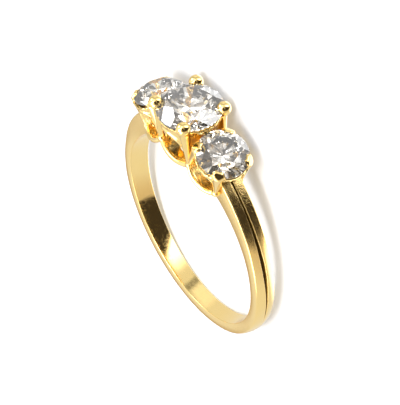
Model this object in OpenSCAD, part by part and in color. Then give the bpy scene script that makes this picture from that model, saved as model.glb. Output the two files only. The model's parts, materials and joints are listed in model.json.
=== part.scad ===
// Three stone ring: a slim gold band with grooved shoulders, three claw settings in
// a row, soldered together, and three round brilliant cut stones. The ring lies on
// its side as it would on a table, with the row of stones towards +Y.
//
// Each shape is first drawn on the upright ring: the middle of the finger hole is
// the origin, Y runs along the finger, Z points up to the middle stone and X runs
// along the row. lying_down() then lays the finished ring on its side.

/* [Finger hole] */
// Inside diameter of the ring
finger_d = 17; // [15:0.5:21]

/* [Band] */
// Thickness of the band at the back and the sides, at its middle
band_t = 1.1; // [0.9:0.05:1.3]
// Thickness of the band at the shoulders, at its middle
shoulder_t = 1.85; // [1.6:0.05:2]
// Width of the band at the back
back_w = 1.45; // [1.2:0.05:1.7]
// Width of the band from the sides up to the settings
side_w = 1.75; // [1.4:0.05:2]
// Radius of the crown across the band's outer face
crown_r = 1.7; // [1.2:0.1:4]
// Depth of the groove along each shoulder, next to the settings
groove_depth = 0.35; // [0.1:0.05:0.45]
// Width of the groove where it is deepest
groove_w = 0.5; // [0.2:0.05:0.8]
// How far round below the sides the groove runs out, in degrees
groove_end_angle = 30; // [10:5:50]

/* [Stones] */
// Diameter of the middle stone
centre_d = 5.3; // [4.6:0.1:6]
// Diameter of the two side stones
side_d = 4.2; // [3.6:0.1:4.8]
// Slope of the main facets above the girdle, in degrees
crown_angle = 34.5; // [30:0.5:37]
// Slope of the main facets below the girdle, in degrees
pavilion_angle = 40.8; // [39:0.2:42]
// Table width as a share of the stone's diameter
table_share = 0.57; // [0.5:0.01:0.64]
// Girdle thickness as a share of the stone's diameter
girdle_share = 0.03; // [0.028:0.002:0.05]
// Gap left between each stone and the metal
stone_gap = 0.03; // [0.02:0.01:0.06]

/* [Settings] */
// Height of the middle stone's girdle above the finger hole
centre_rise = 4.5; // [4.2:0.1:5]
// Height of the side stones' girdles above the finger hole
side_rise = 3.65; // [3.4:0.05:4]
// How far each side stone tucks in under the edge of the middle one
side_tuck = 0.25; // [0.1:0.05:0.4]
// Diameter of the ball on each claw of the middle stone
centre_ball_d = 1; // [0.8:0.05:1.1]
// Diameter of the ball on each claw of the side stones
side_ball_d = 0.76; // [0.66:0.02:0.9]
// Height of the balls' middles above the girdle
ball_rise = 0.2; // [0.14:0.02:0.3]
// How far the balls' middles stand outside the girdle
ball_stand = 0.02; // [0:0.01:0.08]
// Thickness of a claw at its foot
claw_foot_d = 0.42; // [0.36:0.02:0.5]
// Wall of the collar under each stone
collar_wall = 0.42; // [0.3:0.02:0.5]
// Thickness of the round wire of the lower rails and the cross bars
rail_d = 0.44; // [0.36:0.02:0.5]
// Height of the rails' middle line over the finger hole, at its lowest
rail_rise = 0.34; // [0.3:0.02:0.5]
// Thickness of the floor under each stone
floor_t = 0.3; // [0.24:0.02:0.4]
// Diameter of the solder knobs where claws and rails meet
knob_d = 0.62; // [0.56:0.02:0.8]
// Height of the knobs' middles above the finger hole
knob_rise = 0.95; // [0.8:0.05:1.1]
// Distance across the head from knob to knob, between two settings
inner_knob_w = 3.2; // [2.9:0.05:3.4]
// Distance across the head from knob to knob, next to the band
outer_knob_w = 2.3; // [2:0.05:2.6]
// Distance across the head from rail to rail, under a side stone
side_rail_w = 3; // [2.6:0.05:3.4]

/* [Hidden] */
$fn = 72;

finger_r = finger_d / 2;
band_r = finger_r + band_t;
centre_girdle = finger_r + centre_rise;
side_girdle = finger_r + side_rise;
knob_r = finger_r + knob_rise;
rail_r = finger_r + rail_rise;

// The side settings lean outwards until their stones tuck in under the middle one.
side_lean = atan(side_d / 2 / side_girdle)
    + asin((centre_d / 2 - side_tuck) / norm([side_girdle, side_d / 2]));

// The knobs between two settings part the lean in the ratio of their stones, and
// the outer knobs lie as far out on the other side of the side settings.
inner_lean = side_lean * centre_d / (centre_d + side_d);
outer_lean = 2 * side_lean - inner_lean;

// The band has its shoulder thickness at this angle above the sides, in degrees.
shoulder_angle = 50;

// The band ends inside the outer wall of each side setting, this far from the
// setting's axis as a share of the stone's diameter.
band_end_share = 0.33;

// The groove's depth half way along, as a share of its full depth.
groove_middle_share = 0.6;

// A claw's thickness under its ball, as a share of the ball.
claw_share = 0.92;

// A collar's heights below the girdle, the radius of the arch that runs through it
// from front to back, and its outer radii, as shares of the diameter of its stone.
// Its top edge dips in a scallop between each two claws.
collar_top_share = 0.045;
collar_dip_share = 0.1;
collar_arch_share = 0.34;
arch_r_share = 0.265;
collar_top_r_share = 0.47;
collar_foot_r_share = 0.355;
scallop_share = 0.33;

// Diameter of the light hole in the floor under a stone, as a share of the stone's.
light_hole_share = 0.34;

// A brilliant's facets: eight to a turn, the inner corners of the stars and of the
// lower halves, and the rim on which the facet planes are drawn, which lies outside
// the round blank. Radii are shares of the stone's radius.
facets = 8;
half_turn = 180 / facets;
star_share = 0.76;
lower_share = 0.22;
rim_share = 1.03;

// Radius of the shoulder's outer curve at angle a above the sides. It is an arc
// that leaves the side of the band at band_r, with its middle moved inwards by s.
function shoulder_r(s, a) =
    sqrt(pow(s * cos(a), 2) + pow(band_r, 2) + 2 * band_r * s) - s * cos(a);

// The shift s at which that arc reaches radius r at angle a.
function shoulder_shift(r, a) =
    (pow(r, 2) - pow(band_r, 2)) / (2 * (band_r - r * cos(a)));

// Outer radius of the band at angle a above the sides.
function outer_r(a) =
    a > 0 ? shoulder_r(shoulder_shift(finger_r + shoulder_t, shoulder_angle), a) : band_r;

// Point of the upright ring at radius r, leaning from the top, y along the finger.
function leaning(r, lean, y) = [r * sin(lean), y, r * cos(lean)];

// Point of the upright ring from a setting's own axes.
function from_setting(lean, girdle, p) =
    leaning(girdle + p[2], lean, p[1]) + p[0] * [cos(lean), 0, -sin(lean)];

// Middle of the circle through three points, in the plane or in space.
function circle_mid(p, q, s) =
    let (u = q - p, v = s - p, uu = u * u, vv = v * v, uv = u * v)
    let (k = 2 * (uu * vv - uv * uv))
    p + u * (vv * (uu - uv) / k) + v * (uu * (vv - uv) / k);

// Height above the girdle of a crown plane at radius r, all in shares of the radius.
function crown_z(r) = girdle_share + (1 - r) * tan(crown_angle);

// Height of a pavilion plane at radius r, in the same shares.
function pavilion_z(r) = -girdle_share - (1 - r) * tan(pavilion_angle);

// Sweeps a section along the arc from p through q to s.
module along_arc(p, q, s) {
    mid = circle_mid(p, q, s);
    radius = norm(p - mid);
    x = (p - mid) / radius;
    z = cross(q - p, s - p) / norm(cross(q - p, s - p));
    y = cross(z, x);
    turn = atan2((s - mid) * y, (s - mid) * x);
    multmatrix([
        [x[0], y[0], z[0], mid[0]],
        [x[1], y[1], z[1], mid[1]],
        [x[2], y[2], z[2], mid[2]],
        [0, 0, 0, 1]
    ])
        rotate_extrude(angle = turn < 0 ? turn + 360 : turn)
            translate([radius, 0]) children();
}

// Round bar from p to s, tapered from d1 to d2.
module bar(p, s, d1, d2) {
    v = s - p;
    translate(p)
        rotate([0, acos(v[2] / norm(v)), atan2(v[1], v[0])])
            cylinder(h = norm(v), d1 = d1, d2 = d2);
}

// Stands what is drawn on a stone's own axis, its girdle plane at zero, in its place.
module at_setting(lean, girdle) {
    rotate([0, lean, 0]) translate([0, 0, girdle]) children();
}

// Lays the upright ring on its side, where it touches the table with the edge of the
// middle stone and with the back of the band, and centres it.
module lying_down() {
    low_edge = centre_girdle - centre_d / 2 * girdle_share;
    back_edge = band_r - crown_r + sqrt(pow(crown_r, 2) - pow(back_w / 2, 2));
    tilt = atan((centre_d - back_w) / 2 / (low_edge + back_edge));
    lift = centre_d / 2 * cos(tilt) - low_edge * sin(tilt);
    table_z = centre_girdle + centre_d / 2 * crown_z(table_share);
    far_y = table_z * cos(tilt) + centre_d / 2 * table_share * sin(tilt);
    near_y = band_r * cos(tilt);
    translate([0, (near_y - far_y) / 2, lift])
        rotate([tilt - 90, 0, 0])
            children();
}

// A disc about the finger's axis, of radius r, with a crowned rim.
module crowned_disc(r) {
    reach = 1.2 * side_w;
    rotate([90, 0, 0])
        rotate_extrude()
            intersection() {
                translate([0, -reach / 2]) square([2 * r, reach]);
                union() {
                    translate([r - crown_r, 0]) circle(r = crown_r);
                    translate([0, -reach / 2]) square([r - crown_r, reach]);
                }
            }
}

// The upper right quarter of the band, before it is bored: it swells evenly from the
// side towards the head.
module shoulder() {
    shift = shoulder_shift(finger_r + shoulder_t, shoulder_angle);
    reach = 2 * band_r;
    intersection() {
        translate([-shift, 0, 0]) crowned_disc(band_r + shift);
        translate([0, -side_w, 0]) cube([reach, 2 * side_w, reach]);
    }
}

// The lower half of the band, before it is bored.
module hoop() {
    reach = 2 * band_r;
    intersection() {
        crowned_disc(band_r);
        translate([-reach, -side_w, -reach]) cube([2 * reach, 2 * side_w, reach]);
    }
}

// The taper of the band's width, from the side.
module band_widths() {
    reach = 2 * band_r;
    polygon([
        [-back_w / 2, -band_r],
        [back_w / 2, -band_r],
        [side_w / 2, 0],
        [side_w / 2, reach],
        [-side_w / 2, reach],
        [-side_w / 2, 0]
    ]);
}

// The groove along a shoulder: a V turned about a middle off the ring's own, so that
// it is deepest next to the setting and runs out past the side.
module groove() {
    start = -groove_end_angle;
    middle = (shoulder_angle - groove_end_angle) / 2;
    function floor_point(a, depth) =
        (outer_r(a) - depth) * [cos(a), sin(a)];
    start_p = floor_point(start, 0);
    middle_p = floor_point(middle, groove_middle_share * groove_depth);
    end_p = floor_point(shoulder_angle, groove_depth);
    mid = circle_mid(start_p, middle_p, end_p);
    floor_r = norm(start_p - mid);
    open = 3;
    translate([mid[0], 0, mid[1]])
        rotate([90, 0, 0])
            rotate_extrude()
                polygon([
                    [floor_r, 0],
                    [floor_r + open * groove_depth, open * groove_w / 2],
                    [floor_r + open * groove_depth, -open * groove_w / 2]
                ]);
}

// The space between the ends of the band, which the settings take up.
module head_gap() {
    foot_z = -side_d * band_end_share / sin(side_lean);
    reach = 4 * band_r;
    rotate([90, 0, 0])
        linear_extrude(height = 2 * side_w, center = true)
            polygon([
                [0, foot_z],
                [reach * sin(side_lean), foot_z + reach * cos(side_lean)],
                [-reach * sin(side_lean), foot_z + reach * cos(side_lean)]
            ]);
}

// The band: flat inside and on its sides, open at the top, with grooved shoulders.
module band() {
    difference() {
        intersection() {
            union() {
                hoop();
                shoulder();
                mirror([1, 0, 0]) shoulder();
            }
            rotate([90, 0, 90])
                linear_extrude(height = 4 * band_r, center = true) band_widths();
        }
        rotate([90, 0, 0]) cylinder(h = 2 * side_w, r = finger_r, center = true);
        head_gap();
        groove();
        mirror([1, 0, 0]) groove();
    }
}

// The collar that a stone is seated in, on the stone's own axis. It stands in the
// upper half of the cross bars.
module collar(d, knob_z) {
    foot_z = knob_z + rail_d / 4;
    dip = (collar_dip_share - collar_top_share) * d;
    scallop_r = (pow(scallop_share * d, 2) + pow(dip, 2)) / (2 * dip);
    difference() {
        rotate_extrude()
            polygon([
                [collar_foot_r_share * d, foot_z],
                [collar_top_r_share * d, -collar_top_share * d],
                [collar_top_r_share * d - collar_wall, -collar_top_share * d],
                [collar_foot_r_share * d - collar_wall, foot_z]
            ]);
        translate([0, 0, -(collar_arch_share + arch_r_share) * d])
            rotate([90, 0, 0]) cylinder(h = 2 * d, r = arch_r_share * d, center = true);
        for (side = [0, 90])
            translate([0, 0, scallop_r - collar_dip_share * d])
                rotate([90, 0, side]) cylinder(h = 2 * d, r = scallop_r, center = true);
    }
}

// One claw: a tapered bar from its knob up to the ball that holds the stone's edge.
// side_x and side_y are 1 or -1 and say which corner of the setting it stands at.
module claw(lean, girdle, d, ball_d, side_x, side_y, foot) {
    corner = (d / 2 + ball_stand) * cos(45);
    top = from_setting(lean, girdle, [side_x * corner, side_y * corner, ball_rise]);
    bar(foot, top, claw_foot_d, claw_share * ball_d);
    translate(top) sphere(d = ball_d);
}

// One setting: its collar and its four claws. foot_leans and foot_widths give the
// knobs that its left and its right pair of claws stand on.
module setting(lean, girdle, d, ball_d, foot_leans, foot_widths) {
    knob_z = knob_r * cos(foot_leans[1] - lean) - girdle;
    at_setting(lean, girdle) collar(d, knob_z);
    for (pair = [0, 1])
        for (side_y = [-1, 1]) {
            foot = leaning(knob_r, foot_leans[pair], side_y * foot_widths[pair] / 2);
            claw(lean, girdle, d, ball_d, 2 * pair - 1, side_y, foot);
        }
}

// What closes one setting below: a thin floor that dips towards the finger, with a
// round hole for light under the stone, and a round rail along its front and back.
module floor_and_rails(lean, girdle, d, middle_w, foot_leans, foot_widths) {
    for (side_y = [-1, 1])
        along_arc(
            leaning(knob_r, foot_leans[0], side_y * foot_widths[0] / 2),
            leaning(rail_r, lean, side_y * middle_w / 2),
            leaning(knob_r, foot_leans[1], side_y * foot_widths[1] / 2)
        )
            circle(d = rail_d);
    reach = knob_r * sin(lean - foot_leans[0]);
    difference() {
        intersection() {
            along_arc(
                leaning(knob_r, foot_leans[0], 0),
                leaning(rail_r, lean, 0),
                leaning(knob_r, foot_leans[1], 0)
            )
                square([floor_t, 2 * inner_knob_w], center = true);
            rotate([0, lean, 0])
                linear_extrude(height = girdle)
                    polygon([
                        [-2 * reach, -foot_widths[0] / 2],
                        [-reach, -foot_widths[0] / 2],
                        [0, -middle_w / 2],
                        [reach, -foot_widths[1] / 2],
                        [2 * reach, -foot_widths[1] / 2],
                        [2 * reach, foot_widths[1] / 2],
                        [reach, foot_widths[1] / 2],
                        [0, middle_w / 2],
                        [-reach, foot_widths[0] / 2],
                        [-2 * reach, foot_widths[0] / 2]
                    ]);
        }
        rotate([0, lean, 0]) cylinder(h = girdle, d = light_hole_share * d);
    }
}

// A pair of solder knobs, front and back, and the bar that joins them.
module cross_bar(lean, width) {
    front = leaning(knob_r, lean, -width / 2);
    back = leaning(knob_r, lean, width / 2);
    bar(front, back, rail_d, rail_d);
    translate(front) sphere(d = knob_d);
    translate(back) sphere(d = knob_d);
}

// The middle setting with its floor and rails.
module centre_setting() {
    leans = [-inner_lean, inner_lean];
    widths = [inner_knob_w, inner_knob_w];
    setting(0, centre_girdle, centre_d, centre_ball_d, leans, widths);
    floor_and_rails(0, centre_girdle, centre_d, inner_knob_w, leans, widths);
}

// The right setting with its floor and rails.
module side_setting() {
    leans = [inner_lean, outer_lean];
    widths = [inner_knob_w, outer_knob_w];
    setting(side_lean, side_girdle, side_d, side_ball_d, leans, widths);
    floor_and_rails(side_lean, side_girdle, side_d, side_rail_w, leans, widths);
}

// A round brilliant: a round blank with the planes of the table, 8 stars, 8 kites
// and 16 upper halves above the girdle, and of 16 lower halves and 8 mains below.
module brilliant(d) {
    star_z = girdle_share + (1 - star_share * cos(half_turn)) * tan(crown_angle);
    lower_z = -girdle_share - (1 - lower_share * cos(half_turn)) * tan(pavilion_angle);
    function corners(n, radius, z, turn) =
        [for (i = [0:n - 1]) [
            radius * cos(i * 360 / n + turn), radius * sin(i * 360 / n + turn), z
        ]];
    points = d / 2 * concat(
        corners(facets, table_share, crown_z(table_share), 0),
        corners(facets, star_share, star_z, half_turn),
        corners(2 * facets, rim_share, crown_z(rim_share), 0),
        corners(2 * facets, rim_share, pavilion_z(rim_share), 0),
        corners(facets, lower_share, lower_z, half_turn),
        [[0, 0, pavilion_z(0)]]
    );
    function table(i) = i % facets;
    function star(i) = facets + (i + facets) % facets;
    function top(i) = 2 * facets + i % (2 * facets);
    function low(i) = 4 * facets + i % (2 * facets);
    function tip(i) = 6 * facets + (i + facets) % facets;
    culet = 7 * facets;
    turns = [0:facets - 1];
    faces = concat(
        [[for (i = [facets - 1:-1:0]) table(i)]],
        [for (i = turns) [table(i + 1), table(i), star(i)]],
        [for (i = turns) [table(i), star(i - 1), top(2 * i), star(i)]],
        [for (i = turns) [star(i), top(2 * i), top(2 * i + 1)]],
        [for (i = turns) [star(i), top(2 * i + 1), top(2 * i + 2)]],
        [for (i = [0:2 * facets - 1]) [top(i), low(i), low(i + 1), top(i + 1)]],
        [for (i = turns) [tip(i), low(2 * i + 1), low(2 * i)]],
        [for (i = turns) [tip(i), low(2 * i + 2), low(2 * i + 1)]],
        [for (i = turns) [tip(i), low(2 * i), tip(i - 1), culet]]
    );
    intersection() {
        cylinder(h = 2 * d, d = d, center = true);
        polyhedron(points = points, faces = faces);
    }
}

// The room that a stone needs in the metal: its turned outline, grown by the gap.
module stone_room(d) {
    r = d / 2;
    star_z = girdle_share + (1 - star_share * cos(half_turn)) * tan(crown_angle);
    lower_z = -girdle_share - (1 - lower_share * cos(half_turn)) * tan(pavilion_angle);
    rotate_extrude()
        polygon([
            [0, r * pavilion_z(0) - stone_gap],
            [r * lower_share + stone_gap, r * lower_z - stone_gap],
            [r + stone_gap, -r * girdle_share - stone_gap],
            [r + stone_gap, r * girdle_share + stone_gap],
            [r * star_share + stone_gap, r * star_z + stone_gap],
            [r * table_share + stone_gap, r * crown_z(table_share) + stone_gap],
            [0, r * crown_z(table_share) + stone_gap]
        ]);
}

// All the metal, soldered into one: the band, the settings, rails, bars and knobs.
module gold_ring() {
    color("gold")
        difference() {
            union() {
                band();
                centre_setting();
                side_setting();
                mirror([1, 0, 0]) side_setting();
                for (side = [-1, 1]) {
                    cross_bar(side * inner_lean, inner_knob_w);
                    cross_bar(side * outer_lean, outer_knob_w);
                }
            }
            at_setting(0, centre_girdle) stone_room(centre_d);
            at_setting(side_lean, side_girdle) stone_room(side_d);
            at_setting(-side_lean, side_girdle) stone_room(side_d);
        }
}

// The middle stone.
module centre_stone() {
    color("azure") at_setting(0, centre_girdle) brilliant(centre_d);
}

// A side stone, on the left for -1 and on the right for 1.
module side_stone(side) {
    color("azure") at_setting(side * side_lean, side_girdle) brilliant(side_d);
}

lying_down() gold_ring();
lying_down() centre_stone();
lying_down() side_stone(-1);  // left_stone
lying_down() side_stone(1);  // right_stone
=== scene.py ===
import json
import math

import bmesh
import bpy
from mathutils import Matrix, Vector
from mathutils.bvhtree import BVHTree


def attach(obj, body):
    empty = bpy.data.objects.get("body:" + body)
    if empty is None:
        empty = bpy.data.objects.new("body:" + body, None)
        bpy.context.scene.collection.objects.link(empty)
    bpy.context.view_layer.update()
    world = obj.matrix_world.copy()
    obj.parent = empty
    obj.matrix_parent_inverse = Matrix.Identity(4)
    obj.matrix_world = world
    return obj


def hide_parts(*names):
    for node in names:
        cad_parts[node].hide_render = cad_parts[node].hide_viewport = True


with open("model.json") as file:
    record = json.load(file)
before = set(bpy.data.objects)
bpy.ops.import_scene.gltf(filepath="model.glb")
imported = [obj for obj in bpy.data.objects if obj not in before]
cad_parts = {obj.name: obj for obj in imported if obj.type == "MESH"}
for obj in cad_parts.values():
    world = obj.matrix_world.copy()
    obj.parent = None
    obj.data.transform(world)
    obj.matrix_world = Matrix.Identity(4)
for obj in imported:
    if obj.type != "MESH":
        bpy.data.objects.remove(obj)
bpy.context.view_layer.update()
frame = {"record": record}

# The band: 18 carat gold, flat inside and softly crowned outside, cast with the head
# and polished. It swells and widens towards the head, and a V groove is cut along the
# middle of each shoulder.

# Sizes are millimetres on the upright ring, with x along the row of stones, y along
# the finger and z up to the head. The matrix upright lays that ring on the table.
MM = 0.001
finger_hole = frame["record"]["mounts"][0]
tilt = math.asin(-finger_hole["axis"][1])
upright = (
    Matrix.Translation(finger_hole["pos_m"])
    @ Matrix.Rotation(tilt - math.pi / 2, 4, "X")
    @ Matrix.Scale(MM, 4)
)
finger_r = finger_hole["dims"]["r_mm"]
band_r = finger_r + 1.1
back_half_w, side_half_w = 0.725, 0.875
shoulder_t, shoulder_angle = 1.85, math.radians(50)
back, past_end, band_steps = math.radians(-90), math.radians(64), 77
side_lean, side_d = math.radians(21.03), 4.2
end_share = 0.24  # where the band ends under a side stone, by that stone's width

# The crown is flatter on the shoulders: its radius grows and it sinks a little.
crown_r, crown_growth, crown_sink = 1.7, 8, 0.03
flat_start = math.radians(20)
crown_steps = (1, 0.86, 0.72, 0.58, 0.44, 0.3, 0.15, 0)

# The groove deepens from its start to the shoulder, with steep walls above its V. It
# opens sooner than it deepens, and narrows again at the head.
groove_depth, groove_half_w, groove_start = 0.4, 0.19, math.radians(-30)
groove_ease, groove_opening, groove_narrowing = 0.4, 1.6, 0.5
groove_wall, groove_foot_share, least_lip = 0.08, 0.8, 0.02


class Flow:
    """A value on its way through a material's nodes. Sums and products add Math nodes."""

    def __init__(self, tree, socket=None):
        self.tree, self.socket = tree, socket

    def node(self, kind, settings, feeds, output=0):
        """Adds a node with its settings, feeds its sockets and returns one output."""
        made = self.tree.nodes.new(kind)
        for name, value in settings.items():
            if name == "stops":
                ramp = made.color_ramp
                while len(ramp.elements) < len(value):
                    ramp.elements.new(0.5)
                for element, (at, colour) in zip(ramp.elements, value):
                    element.position, element.color = at, colour
            else:
                setattr(made, name, value)
        for name, value in feeds.items():
            if isinstance(value, Flow):
                self.tree.links.new(value.socket, made.inputs[name])
            else:
                made.inputs[name].default_value = value
        return Flow(self.tree, made.outputs[output] if made.outputs else None)

    def math(self, operation, a, b):
        return self.node("ShaderNodeMath", {"operation": operation}, {0: a, 1: b})

    def __add__(self, other):
        return self.math("ADD", self, other)

    def __radd__(self, other):
        return self.math("ADD", other, self)

    def __sub__(self, other):
        return self.math("SUBTRACT", self, other)

    def __rsub__(self, other):
        return self.math("SUBTRACT", other, self)

    def __mul__(self, other):
        return self.math("MULTIPLY", self, other)

    def __rmul__(self, other):
        return self.math("MULTIPLY", other, self)


def new_material(name):
    """An empty material, and the start of its nodes."""
    material = bpy.data.materials.new(name)
    material.use_nodes = True
    material.node_tree.nodes.clear()
    return material, Flow(material.node_tree)


def noise(at, scale, detail):
    """Even noise, with about so many swells to the metre."""
    return at.node(
        "ShaderNodeTexNoise", {}, {"Vector": at, "Scale": scale, "Detail": detail}, "Fac"
    )


def rise(value, low, high, shape="LINEAR"):
    """Zero below low, one above high, and straight or smooth between."""
    return value.node(
        "ShaderNodeMapRange",
        {"interpolation_type": shape},
        {"Value": value, "From Min": low, "From Max": high},
    )


def blend(share, first, second):
    """The first colour where the share is zero, and the second where it is one."""
    return share.node(
        "ShaderNodeMix", {"data_type": "RGBA"}, {0: share, 6: first, 7: second}, 2
    )


def polished_gold(name, wear, scuffs):
    """Gold with the faint cloudiness and rubbed spots that polishing and wear leave.

    wear dulls the rubbed spots, and scuffs are fine marks that grow towards the head.
    A point attribute says where the gold is painted with shade, brown to near black, and
    made dull.
    """
    material, start = new_material(name)
    at = start.node("ShaderNodeTexCoord", {}, {}, "Object")
    cloud = noise(at, scale=900.0, detail=3.0)
    grain = noise(at, scale=13000.0, detail=2.0)
    rubbed = rise(noise(at, scale=4500.0, detail=4.0), 0.45, 0.7)
    headwards = start.node("ShaderNodeSeparateXYZ", {}, {0: at}, "Y")
    near_head = rise(headwards, 0.5 * MM, 5.0 * MM)
    polished = blend(cloud, (1.0, 0.73, 0.28, 1), (1.0, 0.76, 0.33, 1))
    # Painted shade: the gold's colour runs through brown to near black where the
    # attribute marks a hollow or the groove's floor.
    recess = start.node("ShaderNodeAttribute", {"attribute_name": "recess"}, {}, "Fac")
    painted_shade_colour = start.node(
        "ShaderNodeValToRGB",
        {
            "stops": (
                (0.3, (1.0, 0.7, 0.26, 1)),
                (0.45, (0.88, 0.58, 0.17, 1)),
                (0.62, (0.6, 0.38, 0.09, 1)),
                (0.8, (0.2, 0.12, 0.03, 1)),
            )
        },
        {0: recess},
        "Color",
    )
    bump = start.node(
        "ShaderNodeBump",
        {},
        {"Distance": 0.02 * MM, "Height": grain * (0.05 + scuffs * near_head)},
    )
    shader = start.node(
        "ShaderNodeBsdfPrincipled",
        {},
        {
            "Base Color": blend(rise(recess, 0.15, 0.5), polished, painted_shade_colour),
            "Metallic": 1.0,
            "Roughness": 0.06 + 0.06 * cloud + 0.8 * recess + wear * rubbed,
            "Normal": bump,
        },
    )
    start.node("ShaderNodeOutputMaterial", {}, {"Surface": shader})
    return material


def way_between(value, low, high):
    """How far a value has come from low to high: zero to one, and no less or more."""
    return max(0.0, min(1.0, (value - low) / (high - low)))


def band_outer(angle):
    """Outer radius of the band at an angle above its sides: round below, swelling above.

    The swelling is an arc of a wider circle, which meets the round band at its sides.
    """
    if angle <= 0:
        return band_r
    reach = finger_r + shoulder_t
    shift = (reach**2 - band_r**2) / (2 * (band_r - reach * math.cos(shoulder_angle)))
    inner = shift * math.cos(angle)
    return math.sqrt(inner**2 + band_r**2 + 2 * band_r * shift) - inner


def band_section(angle):
    """The section's corners at an angle, as radius and distance along the finger."""
    outer = band_outer(angle)
    height = min(0, finger_r * math.sin(angle)) / band_r
    half_w = side_half_w + (side_half_w - back_half_w) * height
    run = way_between(angle, groove_start, shoulder_angle)
    share = (1 + groove_ease) * run - groove_ease * run**2
    flatter = way_between(angle, flat_start, shoulder_angle)
    opening = min(1.0, groove_opening * share) * (1 - groove_narrowing * flatter)
    lip = max(least_lip, groove_half_w * opening)
    round_r = crown_r + crown_growth * flatter**1.5

    def crown(y):
        return outer - round_r + math.sqrt(round_r**2 - y**2) - crown_sink * flatter

    near = [(crown(y), y) for y in (-lip - step * (half_w - lip) for step in crown_steps)]
    wall, foot = crown(lip) - groove_wall * share, groove_foot_share * lip
    groove = [(wall, -foot), (outer - groove_depth * share, 0), (wall, foot)]
    far = [(radius, -y) for radius, y in reversed(near)]
    return [(finger_r, -half_w)] + near + groove + far + [(finger_r, half_w)]


def loft(bm, rings, bridged=False):
    """Draws the first ring and extrudes it through the others.

    Both ends are closed, or else bridged to each other, as round a hole.
    """
    place = bm.verts.layers.int.get("place") or bm.verts.layers.int.new("place")
    verts = [bm.verts.new(point) for point in rings[0]]
    for i, vert in enumerate(verts):
        vert[place] = i
    edges = first = [bm.edges.new(pair) for pair in zip(verts, verts[1:] + verts[:1])]
    if not bridged:
        bmesh.ops.contextual_create(bm, geom=edges)
    for ring in rings[1:]:
        grown = bmesh.ops.extrude_edge_only(bm, edges=edges)["geom"]
        fresh = {part for part in grown if isinstance(part, bmesh.types.BMVert)}
        for vert in fresh:
            vert.co = ring[vert[place]]
        edges = [
            part
            for part in grown
            if isinstance(part, bmesh.types.BMEdge) and fresh.issuperset(part.verts)
        ]
    if bridged:
        bmesh.ops.bridge_loops(bm, edges=edges + first)
    else:
        bmesh.ops.contextual_create(bm, geom=edges)


def lay_down(name, bm, place, material, node, sharp=40):
    """Puts a finished piece in its place on the table, as one of the ring's pieces."""
    bmesh.ops.transform(bm, matrix=place, verts=bm.verts)
    bmesh.ops.recalc_face_normals(bm, faces=bm.faces)
    mesh = bpy.data.meshes.new(name)
    bm.to_mesh(mesh)
    bm.free()
    mesh.shade_smooth()
    mesh.set_sharp_from_angle(angle=math.radians(sharp))
    mesh.materials.append(material)
    piece = bpy.data.objects.new(name, mesh)
    bpy.context.collection.objects.link(piece)
    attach(piece, "root")
    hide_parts(node)
    return piece


gold = polished_gold("polished_gold", wear=0.05, scuffs=0.0)
worn_gold = polished_gold("worn_gold", wear=0.14, scuffs=0.9)

# One half is drawn from the back to past its end, cut off slanting under the side
# stone, opened at the back and mirrored.
bm = bmesh.new()
angles = [back + (past_end - back) * i / band_steps for i in range(band_steps + 1)]
loft(
    bm,
    [
        [
            (radius * math.cos(angle), y, radius * math.sin(angle))
            for radius, y in band_section(angle)
        ]
        for angle in angles
    ],
)
end_out = Vector((math.cos(side_lean), 0, -math.sin(side_lean)))
cut = bmesh.ops.bisect_plane(
    bm,
    geom=bm.verts[:] + bm.edges[:] + bm.faces[:],
    plane_co=end_out * side_d * end_share,
    plane_no=-end_out,
    clear_outer=True,
)["geom_cut"]
bmesh.ops.holes_fill(bm, edges=[e for e in cut if isinstance(e, bmesh.types.BMEdge)])
back_faces = [f for f in bm.faces if abs(f.calc_center_median().x) < 1e-4]
bmesh.ops.delete(bm, geom=back_faces, context="FACES_ONLY")
bmesh.ops.mirror(bm, geom=bm.verts[:] + bm.edges[:] + bm.faces[:], merge_dist=1e-3)
bmesh.ops.remove_doubles(bm, verts=bm.verts, dist=1e-4)
bmesh.ops.recalc_face_normals(bm, faces=bm.faces)

# The edges are rounded by the polishing, most of all outside.
sharp_bend = 0.5  # radians
groove_reach, finger_reach = 1.3 * groove_half_w, finger_r + 0.2


def edge_of_band(edge):
    """Which of the band's edges this is: in the groove, round the finger, or outside."""
    if all(abs(v.co.y) < groove_reach for v in edge.verts):
        return "groove"
    inside = all(math.hypot(v.co.x, v.co.z) < finger_reach for v in edge.verts)
    return "finger" if inside else "outside"


for which, edge_w in (("groove", 0.015), ("finger", 0.05), ("outside", 0.11)):
    long_edges = [
        e
        for e in bm.edges
        if len(e.link_faces) == 2
        and e.calc_face_angle(0) > sharp_bend
        and edge_of_band(e) == which
    ]
    bmesh.ops.bevel(
        bm,
        geom=long_edges,
        offset=edge_w,
        segments=3,
        profile=0.5,
        affect="EDGES",
        material=-1,
    )
band = lay_down("band", bm, upright, worn_gold, "gold_ring")

# The gallery that closes the three settings below: gold wire rails along the front and
# the back, a thin floor with a round light hole under each stone, and cross bars with
# a knob of solder at each end. All of it is soldered together.
centre_d = 5.3
knob_r, rail_r, rail_steps = 9.45, 8.77, 16
inner_lean, outer_lean = math.radians(11.73), math.radians(30.33)
inner_knob_y, outer_knob_y = 1.6, 1.15
centre_rail_y, side_rail_y = 1.9, 1.7
rail_d, knob_d, floor_t = 0.44, 0.62, 0.3
light_hole_share, floor_sides, first_guess = 0.34, 48, 6
solder_grain, solder_rounds = 0.05, 4

# Where the bars lean and how far along the finger they reach, and the three bays
# between them: each one's lean, its stone, and how far out its rails bow.
posts = (
    (-outer_lean, outer_knob_y),
    (-inner_lean, inner_knob_y),
    (inner_lean, inner_knob_y),
    (outer_lean, outer_knob_y),
)
bays = (
    (-side_lean, side_d, side_rail_y),
    (0.0, centre_d, centre_rail_y),
    (side_lean, side_d, side_rail_y),
)


def leaning(radius, lean, y):
    """Point of the upright ring at a radius, leaning from the top, y along the finger."""
    return Vector((radius * math.sin(lean), y, radius * math.cos(lean)))


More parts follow.
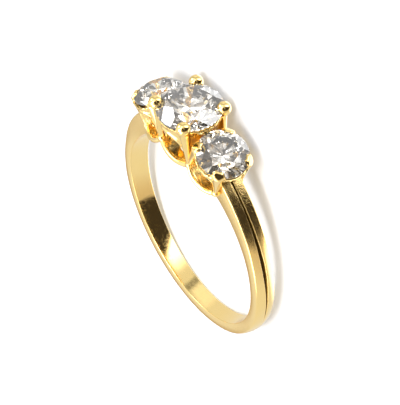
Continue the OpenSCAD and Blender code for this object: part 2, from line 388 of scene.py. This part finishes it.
def arc_points(first, middle, last, count):
    """Points along the arc through three points."""
    u, v = middle - first, last - first
    k = 2 * (u.dot(u) * v.dot(v) - u.dot(v) ** 2)
    centre = (
        first
        + u * (v.dot(v) * (u.dot(u) - u.dot(v)) / k)
        + v * (u.dot(u) * (v.dot(v) - u.dot(v)) / k)
    )
    start, halfway, end = first - centre, middle - centre, last - centre
    axis = u.cross(v).normalized()
    sweep = start.angle(halfway) + halfway.angle(end)
    return [
        centre + Matrix.Rotation(sweep * i / count, 3, axis) @ start
        for i in range(count + 1)
    ]


def wire(bm, path, sides=16):
    """A round wire bent along a path."""
    rings = []
    for i, point in enumerate(path):
        along = path[min(i + 1, len(path) - 1)] - path[max(i - 1, 0)]
        turn = Vector((0, 0, 1)).rotation_difference(along)
        ring = []
        for k in range(sides):
            spoke = Matrix.Rotation(2 * math.pi * k / sides, 3, "Z")
            ring.append(point + turn @ (spoke @ Vector((rail_d / 2, 0, 0))))
        rings.append(ring)
    loft(bm, rings)


def light_floor(bm, lean, stone_d, middle_y, left, right):
    """The floor of one bay, from the light hole's round edge out to rails and bars."""
    reach = knob_r * math.sin(lean - left[0])
    sag = knob_r * math.cos(lean - left[0]) - rail_r
    hole_r = light_hole_share * stone_d / 2
    spokes = []
    for k in range(floor_sides):
        turn = 2 * math.pi * k / floor_sides
        x, y = math.cos(turn), math.sin(turn)
        to_bar = reach / max(abs(x), 1e-6)
        length = min(to_bar, first_guess)
        for _ in range(4):  # the rail slants, so the spoke's length is found by tries
            across = max(-1.0, min(1.0, x * length / reach))
            end_y = right[1] if across > 0 else left[1]
            rail_y = middle_y + (end_y - middle_y) * abs(across)
            length = min(to_bar, rail_y / max(abs(y), 1e-6))
        spokes.append((x, y, length))
    rings = []
    for share, face in ((0, 1), (0.5, 1), (1, 1), (1, -1), (0.5, -1), (0, -1)):
        ring = []
        for x, y, length in spokes:
            radius = hole_r + (length - hole_r) * share
            px, py = radius * x, radius * y
            ring.append((px, py, rail_r + sag * (px / reach) ** 2 + face * floor_t / 2))
        rings.append([Matrix.Rotation(lean, 3, "Y") @ Vector(p) for p in ring])
    loft(bm, rings, bridged=True)


def knob(bm, point, across):
    """A ball of solder or cast gold."""
    bmesh.ops.create_uvsphere(
        bm,
        u_segments=24,
        v_segments=16,
        radius=0.5,
        matrix=Matrix.Translation(point) @ Matrix.Diagonal((across, across, across, 1)),
    )


def solder(bm):
    """Runs everything in the mesh together into one skin, and softens its corners."""
    bmesh.ops.recalc_face_normals(bm, faces=bm.faces)
    mesh = bpy.data.meshes.new("loose")
    bm.to_mesh(mesh)
    bm.free()
    loose = bpy.data.objects.new("loose", mesh)
    bpy.context.collection.objects.link(loose)
    skin = loose.modifiers.new("skin", "REMESH")
    skin.mode, skin.voxel_size, skin.adaptivity = "VOXEL", solder_grain, 0
    bpy.context.view_layer.update()
    graph = bpy.context.evaluated_depsgraph_get()
    bm = bmesh.new()
    bm.from_object(loose, graph)
    bpy.data.objects.remove(loose)
    bpy.data.meshes.remove(mesh)
    for _ in range(solder_rounds):
        bmesh.ops.smooth_vert(
            bm,
            verts=bm.verts,
            factor=0.5,
            use_axis_x=True,
            use_axis_y=True,
            use_axis_z=True,
        )
    return bm


bm = bmesh.new()
for (lean, stone_d, middle_y), left, right in zip(bays, posts, posts[1:]):
    for side in (-1, 1):
        path = arc_points(
            leaning(knob_r, left[0], side * left[1]),
            leaning(rail_r, lean, side * middle_y),
            leaning(knob_r, right[0], side * right[1]),
            rail_steps,
        )
        wire(bm, path)
    light_floor(bm, lean, stone_d, middle_y, left, right)
for lean, y in posts:
    ends = [leaning(knob_r, lean, -y), leaning(knob_r, lean, y)]
    wire(bm, ends)
    for end in ends:
        knob(bm, end, knob_d)
bm = solder(bm)
gallery = lay_down("gallery", bm, upright, gold, "gold_ring")

# The three settings: tapered gold collars, arched through from front to back, with a V
# shaped claw at each corner. The middle claws end in balls pressed over the stone, and
# the side claws are filed to a slope. They are cast, then soldered to the gallery.
centre_girdle, side_girdle = 13.0, 12.15
girdle_share, stone_gap = 0.03, 0.04
crown_slope, pavilion_slope = math.tan(math.radians(34.5)), math.tan(math.radians(40.8))

# The collar, by the stone's width: how far its top lies below the girdle and dips
# between the claws, its half width at the top and how much it loses to its foot, and
# the arches' distance from the axis and half width.
top_share, dip_share = 0.045, 0.035
collar_share, taper_share = 0.478, 0.118
arch_out_share, arch_half_share, arch_power = 0.42, 0.272, 2.4

# The collar's wall, in millimetres: its thickness, the least of it beside the seat, the
# ledge round the stone and the lip on top. Its rows go from the foot up: the rim, then
# the channel above it, then the lip.
wall_t, least_wall, ledge_w, top_lip = 0.28, 0.1, 0.14, 0.03
rim_row, channel_row, lip_row, full_lip_row = 0.5, 0.6, 0.88, 0.94
rows = (0, 0.1, 0.25, 0.4, rim_row, channel_row, 0.7, 0.8, lip_row, full_lip_row, 1)
blank_r, collar_steps = 10, 144

# A side collar flares at the top, all round but beside the middle stone. These are the
# cosines of the turn there, at which it starts and is full.
flare_start, flare_full = -0.9, -0.2

# The claw's V, by its width: how far its wings fall back, and how much of that they
# fall halfway out, at the foot and at the end. Its inner side is shallower.
wing_share, foot_bow, end_bow = 0.27, 0.45, 0.12
inner_wing, inner_step = 0.6, 0.04

# How far a claw's end stands out from the stone, and a collar's foot above the bars.
claw_out, foot_rise = 0.02, rail_d / 4


def seat(lean, girdle):
    """Where a setting stands on the upright ring, with its stone's girdle at zero."""
    return Matrix.Rotation(lean, 4, "Y") @ Matrix.Translation((0, 0, girdle))


def room_r(z, stone_d):
    """Radius of the room that the stone needs at a height, or less than zero."""
    half = girdle_share * stone_d / 2
    if z > half:
        return stone_d / 2 + stone_gap - (z - half) / crown_slope
    if z < -half:
        return stone_d / 2 + stone_gap - (-half - z) / pavilion_slope
    return stone_d / 2 + stone_gap


def collar(bm, stone_d, foot_z, arch_top, rim_h, rim_out, channel, flare):
    """The collar's wall: a straight section, spun and then drawn to shape."""
    section = [(blank_r, row) for row in rows]
    section += [(blank_r - 1, row) for row in reversed(rows)]
    verts = [bm.verts.new((x, 0, z)) for x, z in section]
    edges = [bm.edges.new(pair) for pair in zip(verts, verts[1:] + verts[:1])]
    bmesh.ops.spin(
        bm,
        geom=verts + edges,
        axis=(0, 0, 1),
        cent=(0, 0, 0),
        angle=2 * math.pi,
        steps=collar_steps,
        use_merge=True,
    )
    for vert in bm.verts:
        turn = math.atan2(vert.co.y, vert.co.x)
        inside, row = vert.co.xy.length < blank_r - 0.5, vert.co.z
        top = -stone_d * (top_share + dip_share * math.cos(2 * turn) ** 2)
        across = abs(math.cos(turn)) * arch_out_share / arch_half_share
        low = foot_z
        if across < 1:
            low += (arch_top - foot_z) * (1 - across**arch_power) ** (1 / arch_power)
        if row <= rim_row:
            z = low + row / rim_row * rim_h
        else:
            z = low + rim_h + (row - rim_row) / (1 - rim_row) * (top - low - rim_h)
        fall = (z + top_share * stone_d) / (foot_z + top_share * stone_d)
        flared = way_between(math.cos(turn), flare_start, flare_full)
        flared *= (1 - max(0, fall)) ** 3
        cone = stone_d * (collar_share - taper_share * fall) + flare * flared
        radius = max(cone - channel, min(room_r(z, stone_d) + ledge_w, cone))
        radius += (cone + rim_out - radius) * way_between(row, channel_row, rim_row)
        radius += (cone + top_lip - radius) * way_between(row, lip_row, full_lip_row)
        if inside:
            least_r = cone - channel - wall_t
            radius = max(least_r, min(room_r(z, stone_d), radius - least_wall))
        vert.co = (radius * math.cos(turn), radius * math.sin(turn), z)


def claw(bm, foot, top, widths, thickness, filed):
    """One V shaped claw from its foot to its end. widths go by the height's share.

    filed is how far out the end still stands where it is filed to a slope, or None.
    """
    out = Vector((top.x, top.y, 0)).normalized()
    tangent = Vector((-out.y, out.x, 0))
    rings = []
    for share, width in widths:
        line = foot.lerp(top, share)
        front = (thickness[0] + (thickness[1] - thickness[0]) * share) / 2
        wing = wing_share * width
        bow = wing * (foot_bow + (end_bow - foot_bow) * share)
        flat = [
            (-width / 2, front - wing),
            (-width / 4, front - bow),
            (0, front),
            (width / 4, front - bow),
            (width / 2, front - wing),
            (width / 2 - inner_step, -front - wing * inner_wing),
            (0, -front),
            (-width / 2 + inner_step, -front - wing * inner_wing),
        ]
        limit = math.inf if filed is None else filed + top.z - line.z
        rings.append([line + tangent * a + out * min(b, limit) for a, b in flat])
    loft(bm, rings)


def setting(lean, girdle, stone_d, feet, collar_form, claw_top, ball_d, **claw_form):
    """One setting about its stone: the collar, and a claw from each foot on the bars."""
    bm = bmesh.new()
    foot_z = knob_r * math.cos(feet[1][0] - lean) - girdle + foot_rise
    collar(bm, stone_d, foot_z, **collar_form)
    corner = (stone_d / 2 + claw_out) * math.cos(math.pi / 4)
    for end, (foot_lean, foot_y) in zip((-1, 1), feet):
        x, z = knob_r * math.sin(foot_lean - lean), knob_r * math.cos(foot_lean - lean)
        for side in (-1, 1):
            foot = Vector((x, side * foot_y, z - girdle))
            top = Vector((end * corner, side * corner, claw_top))
            claw(bm, foot, top, **claw_form)
            if ball_d:
                knob(bm, top, ball_d)
    bm = solder(bm)
    for vert in bm.verts:
        radius, least_r = vert.co.xy.length, room_r(vert.co.z, stone_d)
        if 1e-6 < radius < least_r:
            vert.co.xy *= least_r / radius
    return bm


centre_widths = (
    (0, 0.34),
    (0.1, 0.38),
    (0.24, 0.44),
    (0.47, 0.58),
    (0.7, 0.72),
    (0.85, 0.82),
    (1, 0.66),
)
bm = setting(
    0.0,
    centre_girdle,
    centre_d,
    posts[1:3],
    dict(arch_top=-1.3, rim_h=0.24, rim_out=0.07, channel=0.05, flare=0.0),
    claw_top=0.2,
    ball_d=1.18,
    widths=centre_widths,
    thickness=(0.42, 0.6),
    filed=None,
)
centre_setting = lay_down(
    "centre_setting", bm, upright @ seat(0.0, centre_girdle), gold, "gold_ring"
)
side_widths = (
    (0, 0.34),
    (0.2, 0.44),
    (0.42, 0.64),
    (0.6, 0.88),
    (0.72, 1.02),
    (0.8, 1.12),
    (0.85, 1.12),
    (0.9, 1.05),
    (0.94, 0.94),
    (0.97, 0.8),
    (1, 0.6),
)
side_settings = []
for name, mirrored in (("right_setting", 1), ("left_setting", -1)):
    bm = setting(
        side_lean,
        side_girdle,
        side_d,
        posts[2:],
        dict(arch_top=-0.95, rim_h=0.2, rim_out=0.05, channel=0.07, flare=0.26),
        claw_top=0.38,
        ball_d=None,
        widths=side_widths,
        thickness=(0.36, 0.68),
        filed=-0.15,
    )
    place = upright @ Matrix.Diagonal((mirrored, 1, 1, 1)) @ seat(side_lean, side_girdle)
    side_settings.append(lay_down(name, bm, place, gold, "gold_ring"))

# Painted shade in the hollows of the soldered metal, where other metal closes round it.
# Each point of the metal looks out in many ways, and the share of them that metal stops
# close by is kept as a point attribute, which the gold reads as painted shade.
golden_turn = math.pi * (3 - math.sqrt(5))
ways_out, least_facing, lift_off = 20, 0.15, 0.03
# Depths in the groove over which its painted shade grows from none to full.
groove_shade_start, groove_shade_full = 0.02, 0.08
ways = []
for i in range(ways_out):
    z = 1 - (2 * i + 1) / ways_out
    out, turn = math.sqrt(1 - z**2), golden_turn * i
    ways.append(Vector((out * math.cos(turn), out * math.sin(turn), z)))
joined = bmesh.new()
for piece in (band, gallery, centre_setting, *side_settings):
    joined.from_mesh(piece.data)
tree = BVHTree.FromBMesh(joined)
joined.free()
stand_up = upright.inverted()
for piece, look_out, most in (
    (band, 0.5, 0.6),
    (gallery, 1.5, 0.6),
    (centre_setting, 1.5, 0.4),
    *((side_setting, 1.5, 0.4) for side_setting in side_settings),
):
    painted_shade_values = []
    for vert in piece.data.vertices:
        eye = vert.co + vert.normal * lift_off * MM
        facing = [(way, vert.normal.dot(way)) for way in ways]
        facing = [(way, weight) for way, weight in facing if weight > least_facing]
        stopped = sum(w for way, w in facing if tree.ray_cast(eye, way, look_out * MM)[0])
        point = stand_up @ vert.co
        round_r = math.hypot(point.x, point.z)
        in_groove = abs(point.y) < groove_half_w and round_r > band_r - groove_depth
        groove_shade = 0
        # Painted shade on the band's groove floor, darker the deeper it sinks.
        if piece is band and in_groove:
            sunk = band_outer(math.atan2(point.z, abs(point.x))) - round_r
            groove_shade = way_between(sunk, groove_shade_start, groove_shade_full)
        painted_shade_values.append(max(groove_shade, most * stopped / sum(w for _, w in facing)))
    recess = piece.data.attributes.new("recess", "FLOAT", "POINT")
    recess.data.foreach_set("value", painted_shade_values)

# The stones: three round brilliant cut diamonds, the middle one larger. Each is a turned
# blank on which the table, 8 stars, 8 kites and 16 upper halves are ground above the
# girdle, and 16 lower halves and 8 mains below it.
table_share, star_share, lower_share = 0.57, 0.76, 0.22
facets, girdle_scallop, blank_sides = 8, 0.004, 96


def grind(bm, normal, point, count, offset):
    """Grinds count facets round the stone, like the one with this normal and point."""
    for i in range(count):
        turn = Matrix.Rotation(2 * math.pi * (i + offset) / count, 3, "Z")
        ground = bmesh.ops.bisect_plane(
            bm,
            geom=bm.verts[:] + bm.edges[:] + bm.faces[:],
            dist=1e-5,
            plane_co=turn @ point,
            plane_no=turn @ normal,
            clear_outer=True,
        )["geom_cut"]
        rim = [e for e in ground if isinstance(e, bmesh.types.BMEdge)]
        if rim:
            bmesh.ops.holes_fill(bm, edges=rim)


def facet_way(first, second, third, up):
    """Which way the facet through three points of it faces, upwards or downwards."""
    normal = (second - first).cross(third - first).normalized()
    return normal if (normal.z > 0) == up else -normal


def mirrored_y(v):
    return Vector((v.x, -v.y, v.z))


def brilliant(stone_d):
    """A round brilliant with its girdle at height zero."""
    radius = stone_d / 2
    half_turn = math.pi / facets
    table_z = girdle_share + (1 - table_share) * crown_slope
    star_z = girdle_share + (1 - star_share * math.cos(half_turn)) * crown_slope
    lower_z = -girdle_share - (1 - lower_share * math.cos(half_turn)) * pavilion_slope

    def corner(share, turn, z):
        return Vector((share * math.cos(turn), share * math.sin(turn), z)) * radius

    table_corner = corner(table_share, 0, table_z)
    table_next = corner(table_share, 2 * half_turn, table_z)
    star = corner(star_share, half_turn, star_z)
    kite_edge = corner(1, 0, girdle_share)
    half_edge = corner(1, half_turn, girdle_share + girdle_scallop)
    lower = corner(lower_share, half_turn, lower_z)
    main_edge = corner(1, 0, -girdle_share)
    under_edge = corner(1, half_turn, -girdle_share - girdle_scallop)
    table_way = Vector((0, 0, 1))
    kite_way = Vector((crown_slope, 0, 1)).normalized()
    main_way = Vector((pavilion_slope, 0, -1)).normalized()
    star_way = facet_way(table_corner, table_next, star, True)
    upper_way = facet_way(star, half_edge, kite_edge, True)
    lower_way = facet_way(lower, under_edge, main_edge, False)
    bm = bmesh.new()
    bmesh.ops.create_cone(
        bm,
        cap_ends=True,
        segments=blank_sides,
        radius1=radius,
        radius2=radius,
        depth=2 * radius,
    )
    for way, point, count, offset in (
        (table_way, corner(0, 0, table_z), 1, 0),
        (kite_way, kite_edge, facets, 0),
        (main_way, main_edge, facets, 0.5),
        (star_way, star, facets, 0),
        (upper_way, star, facets, 0),
        (mirrored_y(upper_way), mirrored_y(star), facets, 0),
        (lower_way, lower, facets, 0),
        (mirrored_y(lower_way), mirrored_y(lower), facets, 0),
    ):
        grind(bm, way, point, count, offset)
    return bm


def diamond(name):
    """Clear stone of diamond's index, very slightly warm in tone."""
    material, start = new_material(name)
    at = start.node("ShaderNodeTexCoord", {}, {}, "Object")
    shader = start.node(
        "ShaderNodeBsdfPrincipled",
        {},
        {
            "Base Color": (1, 0.968, 0.895, 1),
            "Roughness": 0.004 * noise(at, scale=700.0, detail=2.0),
            "IOR": 2.417,
            "Transmission Weight": 0.96,
        },
    )
    start.node("ShaderNodeOutputMaterial", {}, {"Surface": shader})
    return material


clear_stone = diamond("clear_stone")
for name, place, stone_d in (
    ("centre_brilliant", seat(0.0, centre_girdle), centre_d),
    ("right_brilliant", seat(side_lean, side_girdle), side_d),
    ("left_brilliant", seat(-side_lean, side_girdle), side_d),
):
    bm, node = brilliant(stone_d), name.replace("brilliant", "stone")
    lay_down(name, bm, upright @ place, clear_stone, node, sharp=1)

# The table that the ring lies on: a wide, matt, pale sheet. It isn't part of the ring,
# so it isn't attached to the ring's body.
bm = bmesh.new()
bmesh.ops.create_grid(bm, x_segments=1, y_segments=1, size=2)
mesh = bpy.data.meshes.new("table_top")
bm.to_mesh(mesh)
bm.free()
material, start = new_material("pale_sheet")
shader = start.node(
    "ShaderNodeBsdfPrincipled",
    {},
    {
        "Base Color": (0.5, 0.505, 0.52, 1),
        "Roughness": 0.6,
        "Emission Color": (1.0, 0.99, 0.98, 1),
        "Emission Strength": 0.22,
    },
)
start.node("ShaderNodeOutputMaterial", {}, {"Surface": shader})
mesh.materials.append(material)
table_top = bpy.data.objects.new("table_top", mesh)
bpy.context.collection.objects.link(table_top)

# The gold and the stones don't mirror it, or they would show the ring's own shadow.
table_top.visible_glossy = False
table_top.visible_transmission = False

# The light: a white tent with soft boxes above and beside the ring, a dark gap beside
# the camera, and a dim room with small lamps past it. The gold mirrors it on every
# side, so it is drawn by direction, as azimuth and elevation in degrees.
tent_level = 0.88
studio = bpy.data.worlds.new("studio")
bpy.context.scene.world = studio
studio.use_nodes = True
studio.node_tree.nodes.clear()
start = Flow(studio.node_tree)
way = start.node("ShaderNodeTexCoord", {}, {}, "Generated")
east, north, high = (
    start.node("ShaderNodeSeparateXYZ", {}, {0: way}, axis) for axis in "XYZ"
)
azimuth_deg = start.math("ARCTAN2", east, north) * math.degrees(1)
height = start.node("ShaderNodeMath", {"operation": "ARCSINE"}, {0: high})
height_deg = height * math.degrees(1)


def ramp_up(value, low, high):
    """Zero below low, one above high and smooth between."""
    return rise(value, low, high, "SMOOTHSTEP")


def patch(left, right, bottom, top):
    """A patch of the tent. Each side is the pair of angles over which it fades."""
    across = ramp_up(azimuth_deg, *left) * (1 - ramp_up(azimuth_deg, *right))
    return across * ramp_up(height_deg, *bottom) * (1 - ramp_up(height_deg, *top))


# What the shoulders mirror dark: a gap in the tent that leans and rises, the tent's
# open side above it, and the dim room beside that.
slant = azimuth_deg - 0.6 * start.math("MAXIMUM", height_deg - 22, 0.0)
gap = (
    ramp_up(azimuth_deg + 0.6 * height_deg, 16, 26)
    * (1 - ramp_up(slant, 91, 94))
    * (1 - ramp_up(height_deg - 0.27 * azimuth_deg, -5, 1))
)
open_side = patch((14, 24), (88, 96), (12, 20), (44, 52))
room = patch((-22, -6), (60, 70), (10, 22), (60, 68)) * (1 - open_side)
opened = start.math("MAXIMUM", 0.36 * room, open_side)
dark = start.math("MAXIMUM", gap, opened)

# Where the tent is dimmer or warmer, then what shines in it.
dim = patch((-112, -100), (-14, -8), (-12, 0), (30, 42))
seam = patch((-22, -19), (-14, -11), (-50, -45), (-8, 2))
shade = patch((-160, -150), (-122, -112), (-28, -18), (10, 18))
warm = ramp_up(azimuth_deg, 88, 92) * (1 - ramp_up(azimuth_deg, 96, 135))
head_box = patch((0, 30), (38, 50), (-70, -62), (-12, 2))
left_box = patch((-165, -155), (-52, -38), (24, 32), (80, 88))
crown_box = patch((-64, -58), (-40, -32), (22, 28), (46, 54))
right_box = patch((100, 112), (168, 178), (36, 44), (74, 80))
top_box = ramp_up(height_deg, 72, 80)
table_box = patch((-58, -46), (-26, -20), (-34, -26), (-10, -2))
cell = start.node("ShaderNodeTexVoronoi", {}, {"Vector": way, "Scale": 5.0}, "Distance")
lamps = 1 - ramp_up(cell, 0.24, 0.38)
behind = 1 - ramp_up(azimuth_deg, -66, -56) * (1 - ramp_up(azimuth_deg, 96, 106))
floor_glow = behind * (1 - ramp_up(height_deg, -50, -38))

level = tent_level
for loss, area in ((0.25, dim), (0.6, seam), (0.18, warm), (0.35, shade)):
    level = level * (1 - loss * area)
level = level * (1 - 0.94 * dark) + 3.5 * head_box * (1 - dark)
for strength, area in (
    (0.3, left_box),
    (5.2, crown_box),
    (3.0, right_box),
    (14.0, top_box),
    (0.25, table_box),
    (14.0, lamps * room),
    (1.9, floor_glow),
):
    level = level + strength * area
tinted = start.math("MAXIMUM", warm * 0.7 + shade, dark)
tint = blend(tinted, (1, 1, 1, 1), (1, 0.82, 0.64, 1))
glow = start.node("ShaderNodeBackground", {}, {"Color": tint, "Strength": level})
start.node("ShaderNodeOutputWorld", {}, {"Surface": glow})
bpy.context.scene.view_settings.view_transform = "Standard"

# The camera: a long lens at the photograph's angle to the ring. Its place was found
# from the outlines of the band and the stones.
azimuth, elevation, roll = math.radians(138.5), math.radians(25.41), math.radians(114.1)
aim = Vector((-0.000932, -0.000857, 0.000733))
distance = 0.2016
back_way = Vector(
    (
        math.sin(azimuth) * math.cos(elevation),
        -math.cos(azimuth) * math.cos(elevation),
        math.sin(elevation),
    )
)
camera = bpy.data.objects.new("camera", bpy.data.cameras.new("camera"))
camera.data.lens, camera.data.sensor_width = 222.6, 36
camera.data.clip_start = 0.01
camera.rotation_mode = "QUATERNION"
camera.location = aim + back_way * distance
rolled = Matrix.Rotation(-roll, 3, "Z").to_quaternion()
camera.rotation_quaternion = (-back_way).to_track_quat("-Z", "Y") @ rolled
bpy.context.collection.objects.link(camera)
bpy.context.scene.camera = camera
